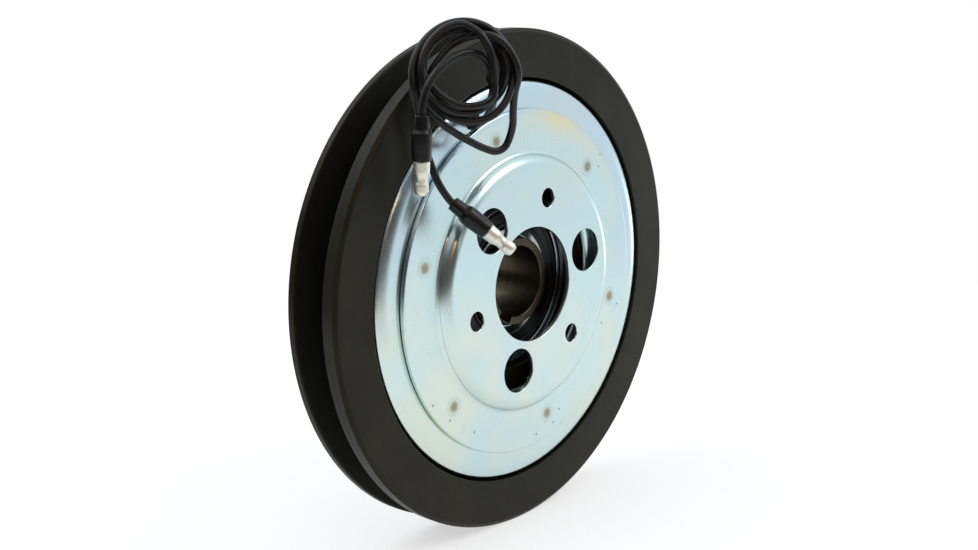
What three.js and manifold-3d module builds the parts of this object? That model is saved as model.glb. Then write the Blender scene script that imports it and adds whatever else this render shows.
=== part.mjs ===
// Electromagnetic clutch with a stationary field coil and a single-groove pulley.
// Millimetres, +Z up. The shaft axis is Y: y = 0 is the mounting plate's machine face,
// and +Y runs from the machine into the clutch.
import * as THREE from "three";
import { mergeVertices } from "three/addons/utils/BufferGeometryUtils.js";
import Module from "manifold-3d";

const wasm = await Module();
wasm.setup();

// ---------------------------------------------------------------- driving dimensions
const GAP = 0.3;
const FINE = 48; // facets round a large ring
const MEDIUM = 32; // facets round a bearing ring
const SMALL = 10; // facets round a rivet

const PLATE = {
  thickness: 1.6, bore: 20.4, step: 3.6, rim: 61.5,
  domeFlat: 41.6, domeRound: 4.5, slope: 62, foot: 47.3, footRound: 1.8,
  holeCircle: 31, smallHole: 3.4, largeHole: 7.85, firstLarge: 15,
};
const SHELL = {
  back: 5.5, sheet: 3, inner: 39, outer: 71.2, mouth: 23.5, innerRound: 3.5,
  crown: 10, crownAngle: 25, corner: 1.6,
};
const BOBBIN = { front: 9.4, rear: 22.4, outer: 65.5, flange: 1, core: 1.2 };
const PULLEY = {
  face: 6.1, rear: 28.45, radius: 89, inner: 72.2, chamfer: 1.4, chamferDepth: 0.9,
  grooveStart: 11.65, grooveWidth: 13.5, grooveDepth: 12, grooveHalfAngle: 18,
};
const ROTOR = { bore: 31.3, pole: 38.2, mouth: 8, webFront: 24.6, webRear: 28.6, rim: 71.9, stop: 28.6 };
const SNAP = { inner: 28.2, outer: 32.4, front: 9.5, rear: 10.5 };
const HUB = {
  end: 7.25, bore: 12.7, sleeve: 15.7, shoulder: 18.7, shoulderFront: 27.9,
  flange: 22, flangeFront: 35.5, flangeRear: 38.5, rivetRadius: 26, lobeRadius: 6.5,
  keyWidth: 6.35, keyDepth: 2.4, keyAngle: 240,
};
const BEARING = {
  front: 10.8, width: 16, bore: 16, outer: 31, innerLand: 19.2, outerLand: 26.8,
  pitch: 23, ballRadius: 4.7625, balls: 9, clearance: 0.45,
};
const ARMATURE = { front: 29.1, rear: 34.1, inner: 40, outer: 69, bevel: 0.6, rivetRadius: 46 };
const RIVET = {
  shank: 1.8, hole: 2.1, headRadius: 3.3, headHeight: 1.4, tailRadius: 2.9, tailHeight: 1.1,
};
const SPRING = { front: 34.4, rear: 35.2, width: 10, lead: 70, firstAngle: 90, count: 3 };
const LEAD = { radius: 1.25, exitAngle: 113.4, exitRadius: 64 };
const COIL = {
  centre: [-44, -8.5, 77], azimuth: 35, elevation: 12, inner: 10.3, outer: 17.4, halfWidth: 3.9,
};

// ---------------------------------------------------------------- geometry helpers
const radians = THREE.MathUtils.degToRad;
const polar = (radius, degrees, y = 0) =>
  new THREE.Vector3(radius * Math.cos(radians(degrees)), y, radius * Math.sin(radians(degrees)));

// Joins shared vertices, drops triangles that have collapsed and turns the faces outward.
function weld(geometry) {
  const bare = geometry.clone();
  bare.deleteAttribute("normal");
  bare.deleteAttribute("uv");
  const merged = mergeVertices(bare, 1e-4);
  const place = merged.getAttribute("position");
  const corners = Array.from(merged.getIndex().array);
  const kept = [];
  let volume = 0;
  const [a, b, c] = [new THREE.Vector3(), new THREE.Vector3(), new THREE.Vector3()];
  for (let i = 0; i < corners.length; i += 3) {
    const [p, q, r] = corners.slice(i, i + 3);
    if (p === q || q === r || p === r) continue;
    kept.push(p, q, r);
    a.fromBufferAttribute(place, p);
    b.fromBufferAttribute(place, q);
    c.fromBufferAttribute(place, r);
    volume += a.dot(b.cross(c));
  }
  if (volume < 0) {
    for (let i = 0; i < kept.length; i += 3) [kept[i], kept[i + 1]] = [kept[i + 1], kept[i]];
  }
  merged.setIndex(kept);
  return merged;
}

function toManifold(geometry) {
  const welded = weld(geometry);
  return new wasm.Manifold(new wasm.Mesh({
    numProp: 3,
    vertProperties: new Float32Array(welded.getAttribute("position").array),
    triVerts: new Uint32Array(welded.getIndex().array),
  }));
}

function fromManifold(solid) {
  const mesh = solid.getMesh();
  const geometry = new THREE.BufferGeometry();
  geometry.setAttribute("position", new THREE.BufferAttribute(mesh.vertProperties, 3));
  geometry.setIndex(new THREE.BufferAttribute(mesh.triVerts, 1));
  return geometry;
}

function cut(body, tools) {
  const rest = tools.reduce((solid, tool) => solid.subtract(toManifold(tool)), toManifold(body));
  return fromManifold(rest);
}

// A ring or disc turned about Y from [radius, y] points.
function turned(points, facets = FINE) {
  const onAxis = points[0][0] === 0 && points.at(-1)[0] === 0;
  const outline = onAxis ? points : [...points, points[0]];
  return weld(new THREE.LatheGeometry(outline.map(([r, y]) => new THREE.Vector2(r, y)), facets));
}

const ring = (inner, outer, front, rear, facets = FINE) =>
  turned([[inner, front], [outer, front], [outer, rear], [inner, rear]], facets);

// Points of an arc in the [radius, y] plane, both ends included.
function arc(centre, radius, fromDegrees, toDegrees, steps) {
  return Array.from({ length: steps + 1 }, (_, i) => {
    const angle = radians(fromDegrees + ((toDegrees - fromDegrees) * i) / steps);
    return [centre[0] + radius * Math.cos(angle), centre[1] + radius * Math.sin(angle)];
  });
}

// A flat outline in the XZ plane, given thickness along Y from front to rear.
function pressed(shape, front, rear, curveSegments = 6) {
  const settings = { depth: rear - front, bevelEnabled: false, curveSegments };
  const geometry = new THREE.ExtrudeGeometry(shape, settings);
  geometry.rotateX(Math.PI / 2);
  geometry.translate(0, rear, 0);
  return weld(geometry);
}

// A round cutter along Y.
function drill(radius, centre, front, rear, facets = 12) {
  const geometry = new THREE.CylinderGeometry(radius, radius, rear - front, facets);
  return geometry.translate(centre.x, (front + rear) / 2, centre.z);
}

// An arc-shaped slot with round ends, centred on an angle.
function slotShape(radius, width, centreDegrees, spanDegrees) {
  const start = radians(centreDegrees - spanDegrees / 2);
  const end = radians(centreDegrees + spanDegrees / 2);
  const shape = new THREE.Shape();
  const half = width / 2;
  shape.absarc(0, 0, radius + half, start, end, false);
  shape.absarc(radius * Math.cos(end), radius * Math.sin(end), half, end, end + Math.PI, false);
  shape.absarc(0, 0, radius - half, end, start, true);
  const [x, z] = [radius * Math.cos(start), radius * Math.sin(start)];
  shape.absarc(x, z, half, start + Math.PI, start + 2 * Math.PI, false);
  return shape;
}

function slots(radius, width, count, span, first, front, rear) {
  return Array.from({ length: count }, (_, k) =>
    pressed(slotShape(radius, width, first + (360 * k) / count, span), front, rear, 5));
}

// A tube of 8 sides along a smooth curve through hand-placed points.
function lead(points, steps) {
  const knots = points.map((point) => new THREE.Vector3(...point));
  const curve = new THREE.CatmullRomCurve3(knots, false, "centripetal");
  const sides = 8;
  const section = new THREE.Shape(Array.from({ length: sides }, (_, i) => {
    const angle = (2 * Math.PI * i) / sides;
    return new THREE.Vector2(LEAD.radius * Math.cos(angle), LEAD.radius * Math.sin(angle));
  }));
  return weld(new THREE.ExtrudeGeometry(section, { steps, extrudePath: curve, bevelEnabled: false }));
}

// ---------------------------------------------------------------- assembly and materials
const clutch = new THREE.Group();

const FINISH = {
  zinc: { color: 0xc4ced4, roughness: 0.3, metalness: 1 },
  blackSteel: { color: 0x33332f, roughness: 0.5, metalness: 0.6 },
  steel: { color: 0x77736c, roughness: 0.35, metalness: 1 },
  race: { color: 0x8c8f92, roughness: 0.2, metalness: 1 },
  rubber: { color: 0x161616, roughness: 0.6, metalness: 0 },
  nylon: { color: 0x6b5f48, roughness: 0.5, metalness: 0 },
  copper: { color: 0x9c4f28, roughness: 0.4, metalness: 1 },
  resin: { color: 0x1d1a17, roughness: 0.5, metalness: 0 },
  springSteel: { color: 0x5a5d60, roughness: 0.35, metalness: 1 },
  vinyl: { color: 0x141414, roughness: 0.3, metalness: 0 },
  tin: { color: 0xd8d2c4, roughness: 0.3, metalness: 1 },
};

function add(name, geometry, finish) {
  const mesh = new THREE.Mesh(geometry, new THREE.MeshStandardMaterial(FINISH[finish]));
  mesh.name = name;
  clutch.add(mesh);
  return mesh;
}

const bearingRear = BEARING.front + BEARING.width;
const bearingMiddle = BEARING.front + BEARING.width / 2;

// ---------------------------------------------------------------- field: plate, shell, winding
function mountingPlate() {
  const { thickness: t, bore, step, rim, domeFlat, domeRound, slope, foot, footRound } = PLATE;
  const [domeCentre, footCentre] = [[domeFlat, domeRound], [foot, step - footRound]];
  const body = turned([
    [bore, 0], ...arc(domeCentre, domeRound, 270, 270 + slope, 2),
    ...arc(footCentre, footRound, 90 + slope, 90, 2), [rim, step],
    [rim, step + t], ...arc(footCentre, footRound + t, 90, 90 + slope, 2),
    ...arc(domeCentre, domeRound - t, 270 + slope, 270, 2), [bore, t],
  ]);
  const tools = [];
  for (let k = 0; k < 3; k++) {
    const large = PLATE.firstLarge + 120 * k;
    tools.push(drill(PLATE.largeHole, polar(PLATE.holeCircle, large), -1, t + 1, 20));
    tools.push(drill(PLATE.smallHole, polar(PLATE.holeCircle, large + 60), -1, t + 1));
  }
  return cut(body, tools);
}

// The grommet's outline: a trapezoid, narrow towards the shaft.
function grommetShape(halfWide, halfNarrow, halfHeight) {
  const shape = new THREE.Shape();
  shape.moveTo(-halfNarrow, -halfHeight);
  shape.lineTo(halfNarrow, -halfHeight);
  shape.lineTo(halfWide, halfHeight);
  shape.lineTo(-halfWide, halfHeight);
  shape.closePath();
  return shape;
}

// Turns a piece made round +Z at the exit radius to the exit's real angle.
const atExit = (geometry) =>
  geometry.translate(0, 0, LEAD.exitRadius).rotateY(-radians(LEAD.exitAngle - 90));

function coilShell() {
  const { back, sheet, inner, outer, mouth, innerRound, crown, crownAngle, corner } = SHELL;
  // The back is flat, then crowned, then turns a tight corner into the outer wall.
  const crownStart = outer - corner - (crown - corner) * Math.sin(radians(crownAngle));
  const cornerDepth = back + crown - (crown - corner) * Math.cos(radians(crownAngle));
  const body = turned([
    [inner, mouth], ...arc([inner + innerRound, back + innerRound], innerRound, 180, 270, 3),
    ...arc([crownStart, back + crown], crown, 270, 270 + crownAngle, 2),
    ...arc([outer - corner, cornerDepth], corner, 270 + crownAngle, 360, 2).slice(1),
    [outer, mouth], [outer - sheet, mouth], [outer - sheet, back + sheet + 1.5],
    [outer - sheet - 1.5, back + sheet], [inner + sheet, back + sheet], [inner + sheet, mouth],
  ]);
  const window = atExit(pressed(grommetShape(2.8, 2.1, 1.6), back - 1, back + sheet + 1));
  return cut(body, [window]);
}

function leadGrommet() {
  const boss = pressed(grommetShape(3.5, 2.4, 2.1), 4.6, SHELL.back - GAP);
  const neck = pressed(grommetShape(2.5, 1.8, 1.3), 5, SHELL.back + SHELL.sheet - GAP);
  return fromManifold(toManifold(atExit(boss)).add(toManifold(atExit(neck))));
}

const coilRoom = [SHELL.inner + SHELL.sheet + GAP, SHELL.outer - SHELL.sheet - GAP];

function coilBobbin() {
  const { front, rear, outer, flange, core } = BOBBIN;
  const [inner] = coilRoom;
  return turned([
    [inner, front], [outer, front], [outer, front + flange], [inner + core, front + flange],
    [inner + core, rear - flange], [outer, rear - flange], [outer, rear], [inner, rear],
  ], MEDIUM);
}

function coilWinding() {
  const { front, rear, outer, flange, core } = BOBBIN;
  const inner = coilRoom[0] + core + GAP;
  return ring(inner, outer - 1, front + flange + GAP, rear - flange - GAP, MEDIUM);
}

const coilPotting = () => ring(...coilRoom, BOBBIN.rear + GAP, SHELL.mouth - 0.1, MEDIUM);

add("mounting_plate", mountingPlate(), "zinc");
add("coil_shell", coilShell(), "zinc");
add("coil_bobbin", coilBobbin(), "nylon");
add("coil_winding", coilWinding(), "copper");
add("coil_potting", coilPotting(), "resin");
add("lead_grommet", leadGrommet(), "rubber");

// ---------------------------------------------------------------- leads, coiled by the rim
const coilNormal = new THREE.Vector3(
  -Math.sin(radians(COIL.azimuth)) * Math.cos(radians(COIL.elevation)),
  -Math.cos(radians(COIL.azimuth)) * Math.cos(radians(COIL.elevation)),
  Math.sin(radians(COIL.elevation)),
);

add("lead_a_root", lead([
  [-26.7, 4.3, 58.1], [-26.9, 1.6, 58.5], [-28.3, -2.4, 60.2], [-31, -6.8, 63.2], [-34.1, -10.7, 66.5],
], 5), "vinyl");
add("lead_b_root", lead([
  [-24.1, 4.3, 59.3], [-24.2, 1.6, 59.8], [-25.6, -2.2, 62.2], [-28.6, -6.3, 65.9], [-32.3, -10.2, 69.5],
], 5), "vinyl");
add("lead_a_tail", lead([
  [-38.6, -13.7, 74.6], [-37.9, -13.4, 78], [-39.6, -11.9, 81.3], [-44.6, -9.7, 82.6], [-50, -8.4, 81.1],
  [-55.5, -7.5, 77.7], [-59.1, -6.7, 73.4], [-60.7, -6.1, 68.6], [-61, -5.6, 64.6],
], 12), "vinyl");
add("lead_b_slack", lead([
  [-52.6, 1.4, 65.5], [-48.2, -0.8, 60.9], [-42.7, -2.3, 57], [-36.9, -3.9, 53.7], [-31.8, -5.6, 51.2],
  [-28, -7.1, 50.1], [-25.2, -8.3, 51.3], [-24, -9.5, 54.7], [-24.3, -11, 58.8], [-26.2, -12.8, 63.4],
], 13), "vinyl");
add("lead_b_tail", lead([
  [-57.3, 0.9, 66.4], [-55.3, 1.4, 60], [-53.3, 1.4, 54.6], [-51.5, 0.5, 48.3], [-49.4, -1.4, 41],
  [-46.5, -3.95, 35.25],
], 8), "vinyl");

const hankShape = ring(COIL.inner, COIL.outer, -COIL.halfWidth, COIL.halfWidth, 24);
const hank = add("lead_coil", hankShape, "vinyl");
hank.position.set(...COIL.centre);
hank.quaternion.setFromUnitVectors(new THREE.Vector3(0, 1, 0), coilNormal);

// A sleeve and its bullet terminal are turned about Y from the wire's end outward.
const sleeveProfile = [
  [0, 0], [2.3, 0], [2.6, 4.4], [3.3, 5.8], [3.3, 9], [3.1, 13.8], [2.9, 14.3], [0, 14.3],
];
const bulletProfile = [
  [0, 14.6], [2.7, 14.6], [2.6, 18], [2, 19.6], [2, 20.8], [2.4, 21.6], [2.4, 24.4], [1.9, 25.3],
  [0, 25.3],
];
const ends = [
  { tag: "a", start: [-60.97, -5.53, 64.2], to: [-60.47, -4.53, 49.2] },
  { tag: "b", start: [-46.2, -4.2, 34.9], to: [-36.8, -13.3, 24] },
];
const endPieces = [["sleeve", sleeveProfile, "vinyl"], ["bullet", bulletProfile, "tin"]];
for (const { tag, start, to } of ends) {
  const origin = new THREE.Vector3(...start);
  const along = new THREE.Vector3(...to).sub(origin).normalize();
  for (const [name, profile, finish] of endPieces) {
    const piece = add(`${name}_${tag}`, turned(profile, 12), finish);
    piece.position.copy(origin);
    piece.quaternion.setFromUnitVectors(new THREE.Vector3(0, 1, 0), along);
  }
}

// ---------------------------------------------------------------- pulley and rotor
function pulleyRim() {
  const { face, rear, radius, inner, chamfer, chamferDepth } = PULLEY;
  const { grooveStart, grooveWidth, grooveDepth } = PULLEY;
  const flank = grooveDepth * Math.tan(radians(PULLEY.grooveHalfAngle));
  const grooveEnd = grooveStart + grooveWidth;
  return turned([
    [inner, face], [radius - chamfer, face], [radius, face + chamferDepth], [radius, grooveStart],
    [radius - grooveDepth, grooveStart + flank], [radius - grooveDepth, grooveEnd - flank],
    [radius, grooveEnd], [radius, rear - chamferDepth], [radius - chamfer, rear], [inner, rear],
  ]);
}

function rotor() {
  const { bore, pole, mouth, webFront, webRear, rim, stop } = ROTOR;
  const body = turned([
    [stop, webRear], [stop, bearingRear + GAP], [bore, bearingRear + GAP], [bore, SNAP.rear + GAP],
    [SNAP.outer + GAP, SNAP.rear + GAP], [SNAP.outer + GAP, SNAP.front - GAP], [bore, SNAP.front - GAP],
    [bore, mouth + 0.8], [bore + 0.8, mouth], [pole - 1, mouth], [pole, mouth + 1], [pole, webFront],
    [rim, webFront], [rim, webRear],
  ]);
  const clear = [webFront - 1, webRear + 1];
  return cut(body, [
    ...slots(46.5, 3, 4, 66, 45, ...clear),
    ...slots(61.5, 3, 4, 66, 0, ...clear),
  ]);
}

function snapRing() {
  const shape = new THREE.Shape();
  const opening = radians(22);
  shape.absarc(0, 0, SNAP.outer, -Math.PI / 2 + opening, 1.5 * Math.PI - opening, false);
  shape.absarc(0, 0, SNAP.inner, 1.5 * Math.PI - opening, -Math.PI / 2 + opening, true);
  return pressed(shape, SNAP.front, SNAP.rear, 20);
}

function bearingRace(wall, land, grooveSide) {
  const { front, pitch, ballRadius, clearance } = BEARING;
  const radius = ballRadius + clearance;
  const reach = THREE.MathUtils.radToDeg(Math.acos(Math.abs(land - pitch) / radius));
  const groove = arc([pitch, bearingMiddle], radius, grooveSide - reach, grooveSide + reach, 3);
  if (groove[0][1] < groove.at(-1)[1]) groove.reverse();
  const wallSide = [[wall, front], [wall, bearingRear]];
  return turned([...wallSide, [land, bearingRear], ...groove, [land, front]], MEDIUM);
}

add("pulley_rim", pulleyRim(), "blackSteel");
add("rotor", rotor(), "blackSteel");
add("bearing_outer_race", bearingRace(BEARING.outer, BEARING.outerLand, 0), "race");
add("bearing_front_seal", ring(19.6, 26.5, BEARING.front + 0.5, BEARING.front + 1.3, MEDIUM), "rubber");
add("bearing_rear_seal", ring(19.6, 26.5, bearingRear - 1.3, bearingRear - 0.5, MEDIUM), "rubber");
add("bearing_snap_ring", snapRing(), "springSteel");

// ---------------------------------------------------------------- balls and cage
function cage() {
  const { pitch, ballRadius, clearance, balls } = BEARING;
  const body = ring(pitch - 1.1, pitch + 1.1, bearingMiddle - 5.8, bearingMiddle + 5.8, 27);
  const pockets = Array.from({ length: balls }, (_, k) => {
    const place = polar(pitch, (360 * k) / balls, bearingMiddle);
    const pocket = new THREE.SphereGeometry(ballRadius + clearance, 9, 7);
    return pocket.translate(place.x, place.y, place.z);
  });
  return cut(body, pockets);
}

add("bearing_cage", cage(), "nylon");
for (let k = 0; k < BEARING.balls; k++) {
  const ball = add(`ball_${k + 1}`, weld(new THREE.SphereGeometry(BEARING.ballRadius, 8, 6)), "race");
  ball.position.copy(polar(BEARING.pitch, (360 * k) / BEARING.balls, bearingMiddle));
}

// ---------------------------------------------------------------- hub, springs and armature
const lobeAngles = Array.from({ length: SPRING.count }, (_, k) =>
  SPRING.firstAngle + (360 * k) / SPRING.count);
const hubRivetAt = (angle) => polar(HUB.rivetRadius, angle);
const armatureRivetAt = (angle) => polar(ARMATURE.rivetRadius, angle + SPRING.lead);

function shaftHub() {
  const { bore, end, sleeve: wall, shoulder, shoulderFront, flange, flangeFront, flangeRear } = HUB;
  const flat = [flangeFront, flangeRear];
  const sleeve = turned([
    [bore, end], [wall, end], [wall, shoulderFront], [shoulder, shoulderFront],
    [shoulder, flangeFront], [flange, flangeFront], [flange, flangeRear], [bore, flangeRear],
  ], MEDIUM);
  let body = toManifold(sleeve);
  for (const angle of lobeAngles) {
    const centre = hubRivetAt(angle);
    const side = new THREE.Vector2(-centre.z, centre.x).normalize().multiplyScalar(HUB.lobeRadius);
    const root = new THREE.Vector2(centre.x, centre.z).multiplyScalar(0.72);
    const lobe = new THREE.Shape([
      new THREE.Vector2(root.x - 1.4 * side.x, root.y - 1.4 * side.y),
      new THREE.Vector2(centre.x - side.x, centre.z - side.y),
      new THREE.Vector2(centre.x + side.x, centre.z + side.y),
      new THREE.Vector2(root.x + 1.4 * side.x, root.y + 1.4 * side.y),
    ]);
    body = body.add(toManifold(pressed(lobe, ...flat)));
    body = body.add(toManifold(drill(HUB.lobeRadius, centre, ...flat, 16)));
  }
  for (const angle of lobeAngles) {
    const hole = drill(RIVET.hole, hubRivetAt(angle), flangeFront - 1, flangeRear + 1, SMALL);
    body = body.subtract(toManifold(hole));
  }
  const depth = bore + HUB.keyDepth;
  const key = new THREE.BoxGeometry(depth, 60, HUB.keyWidth);
  key.translate(depth / 2, (end + flangeRear) / 2, 0);
  return fromManifold(body.subtract(toManifold(key.rotateY(-radians(HUB.keyAngle)))));
}

function leafSpring(angle) {
  const [from, to] = [hubRivetAt(angle), armatureRivetAt(angle)];
  const start = Math.atan2(to.z - from.z, to.x - from.x) + Math.PI / 2;
  const half = SPRING.width / 2;
  const shape = new THREE.Shape();
  shape.absarc(from.x, from.z, half, start, start + Math.PI, false);
  shape.absarc(to.x, to.z, half, start + Math.PI, start + 2 * Math.PI, false);
  const strap = pressed(shape, SPRING.front, SPRING.rear, 5);
  return cut(strap, [from, to].map((centre) =>
    drill(RIVET.hole, centre, SPRING.front - 1, SPRING.rear + 1, SMALL)));
}

// A rivet whose domed head starts at y = head. With a tail it is upset at the other end as well.
function rivet(hasTail, shankFront, head) {
  const { shank, headRadius, headHeight, tailRadius, tailHeight } = RIVET;
  const dome = head + headHeight;
  const tail = [
    [0, shankFront - tailHeight], [tailRadius, shankFront - tailHeight], [tailRadius, shankFront],
  ];
  const start = hasTail ? tail : [[0, shankFront]];
  return turned([
    ...start, [shank, shankFront], [shank, head], [headRadius, head],
    [headRadius, head + 0.8], [headRadius - 1.2, dome], [0, dome],
  ], SMALL);
}

function armaturePlate() {
  const { front, rear, inner, outer, bevel } = ARMATURE;
  const body = turned([
    [inner, front], [outer, front], [outer, rear - bevel], [outer - bevel, rear], [inner, rear],
  ]);
  const holes = lobeAngles.map((angle) =>
    drill(RIVET.hole, armatureRivetAt(angle), front - 1, rear + 1, SMALL));
  return cut(body, [...holes, ...slots(54, 3, 4, 62, 20, front - 1, rear + 1)]);
}

add("shaft_hub", shaftHub(), "steel");
add("bearing_inner_race", bearingRace(BEARING.bore, BEARING.innerLand, 180), "race");
const shimShape = ring(BEARING.bore, 18.4, bearingRear + GAP, HUB.shoulderFront - GAP, MEDIUM);
add("air_gap_shim", shimShape, "steel");
add("armature_plate", armaturePlate(), "steel");
lobeAngles.forEach((angle, k) => {
  add(`leaf_spring_${k + 1}`, leafSpring(angle), "springSteel");
  const hubRivet = rivet(true, SPRING.front - GAP, HUB.flangeRear + GAP);
  add(`hub_rivet_${k + 1}`, hubRivet, "steel").position.copy(hubRivetAt(angle));
  const plateRivet = rivet(false, ARMATURE.front + 0.5, SPRING.rear + GAP);
  add(`armature_rivet_${k + 1}`, plateRivet, "steel").position.copy(armatureRivetAt(angle));
});

export default clutch;
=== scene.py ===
"""Looks of a stationary-field electromagnetic clutch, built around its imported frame.

Lengths are millimetres until a mesh or curve is made, and metres after that. The shaft axis
is Y: the mounting plate's machine face is y = 0, and +Y runs from the machine into the clutch.
"""

import math

import bmesh
import bpy
from mathutils import Matrix, Vector


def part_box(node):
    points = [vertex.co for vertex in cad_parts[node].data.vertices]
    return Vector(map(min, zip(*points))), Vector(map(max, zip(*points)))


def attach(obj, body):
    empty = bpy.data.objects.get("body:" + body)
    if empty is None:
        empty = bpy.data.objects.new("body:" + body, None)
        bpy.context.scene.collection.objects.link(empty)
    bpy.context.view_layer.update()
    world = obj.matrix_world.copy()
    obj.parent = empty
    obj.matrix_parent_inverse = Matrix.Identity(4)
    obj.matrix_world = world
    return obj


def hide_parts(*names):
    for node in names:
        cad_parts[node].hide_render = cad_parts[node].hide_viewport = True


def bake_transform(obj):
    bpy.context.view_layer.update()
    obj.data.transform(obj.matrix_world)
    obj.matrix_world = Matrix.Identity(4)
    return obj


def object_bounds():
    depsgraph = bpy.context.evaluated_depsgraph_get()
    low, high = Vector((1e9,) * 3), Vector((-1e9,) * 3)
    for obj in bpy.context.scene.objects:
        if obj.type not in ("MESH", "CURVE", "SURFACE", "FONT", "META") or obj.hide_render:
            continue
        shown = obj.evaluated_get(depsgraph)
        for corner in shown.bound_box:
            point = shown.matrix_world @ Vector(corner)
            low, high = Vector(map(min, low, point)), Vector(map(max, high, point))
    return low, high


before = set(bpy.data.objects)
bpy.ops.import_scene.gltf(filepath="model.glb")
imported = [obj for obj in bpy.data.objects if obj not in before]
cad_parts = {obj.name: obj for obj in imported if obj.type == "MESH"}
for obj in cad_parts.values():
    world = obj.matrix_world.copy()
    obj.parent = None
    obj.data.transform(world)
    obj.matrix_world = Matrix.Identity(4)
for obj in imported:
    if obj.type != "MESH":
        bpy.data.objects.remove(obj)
cad_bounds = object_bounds()

MM = 0.001
FINE = 256  # facets round a large ring
MEDIUM = 144  # facets round a bearing ring
SMALL = 48  # facets round a rivet or terminal
TURN = 2 * math.pi
scene = bpy.context.scene


# ---- sizes, from the frame
def span(node):
    """Outer radius, front and rear of a node turned about the shaft axis."""
    low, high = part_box(node)
    return high.x / MM, low.y / MM, high.y / MM


PULLEY_RADIUS, PULLEY_FACE, PULLEY_REAR = span("pulley_rim")
PLATE_RIM, _, PLATE_REAR = span("mounting_plate")
SHELL_RADIUS, SHELL_BACK, SHELL_MOUTH = span("coil_shell")
ROTOR_RIM, ROTOR_MOUTH, ROTOR_REAR = span("rotor")
ARMATURE_RADIUS, ARMATURE_FRONT, ARMATURE_REAR = span("armature_plate")
BEARING_WALL, BEARING_FRONT, BEARING_REAR = span("bearing_outer_race")
SHIM_RADIUS, SHIM_FRONT, SHIM_REAR = span("air_gap_shim")
SPRING_FRONT, SPRING_REAR = span("leaf_spring_1")[1:]
HUB_FRONT, HUB_REAR = span("shaft_hub")[1:]
BEARING_MIDDLE = (BEARING_FRONT + BEARING_REAR) / 2

GAP = 0.3  # between neighbouring parts
SHEET = 1.6  # mounting plate
BOLT_CIRCLE = 31.0
SHELL_SHEET = 3.0
SHELL_BORE = 39.0
LOBE_ANGLES = (90, 210, 330)
HUB_RIVET_RADIUS = 26.0
ARMATURE_RIVET_RADIUS = 46.0
SPRING_LEAD = 70  # degrees from a spring's hub rivet to its armature rivet
RIVET_HOLE = 2.1
GROOVE_START = 11.65
GROOVE_WIDTH = 13.5
GROOVE_DEPTH = 12.0
SHAFT_BORE = 12.7
HUB_SLEEVE = 15.7
KEYWAY_WIDTH, KEYWAY_DEPTH, KEYWAY_ANGLE = 6.35, 2.4, 240
BEARING_BORE = 16.0
BALLS = 9
BALL_CIRCLE = 23.0
BALL_RADIUS = 4.7625
POCKET_RADIUS = 5.1
SLOT_WIDTH = 3
WIRE = 2.5  # across a lead


def polar(radius, degrees):
    """A point (x, z) in the plane across the shaft axis."""
    angle = math.radians(degrees)
    return radius * math.cos(angle), radius * math.sin(angle)


# ---- finishes
def srgb(red, green, blue):
    """A display colour, 0 to 255, as the linear colour a shader takes."""
    def linear(value):
        value /= 255
        return value / 12.92 if value <= 0.04045 else ((value + 0.055) / 1.055) ** 2.4
    return linear(red), linear(green), linear(blue), 1.0


def feed(tree, socket, value):
    """Links a socket to another one, or sets its value."""
    if isinstance(value, bpy.types.NodeSocket):
        tree.links.new(value, socket)
    else:
        socket.default_value = value


def add_node(tree, kind, inputs, **settings):
    """A new shader node with its settings and inputs."""
    node = tree.nodes.new("ShaderNode" + kind)
    for name, value in settings.items():
        setattr(node, name, value)
    for socket, value in inputs.items():
        feed(tree, node.inputs[socket], value)
    return node


FINISHES = {}


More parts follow.
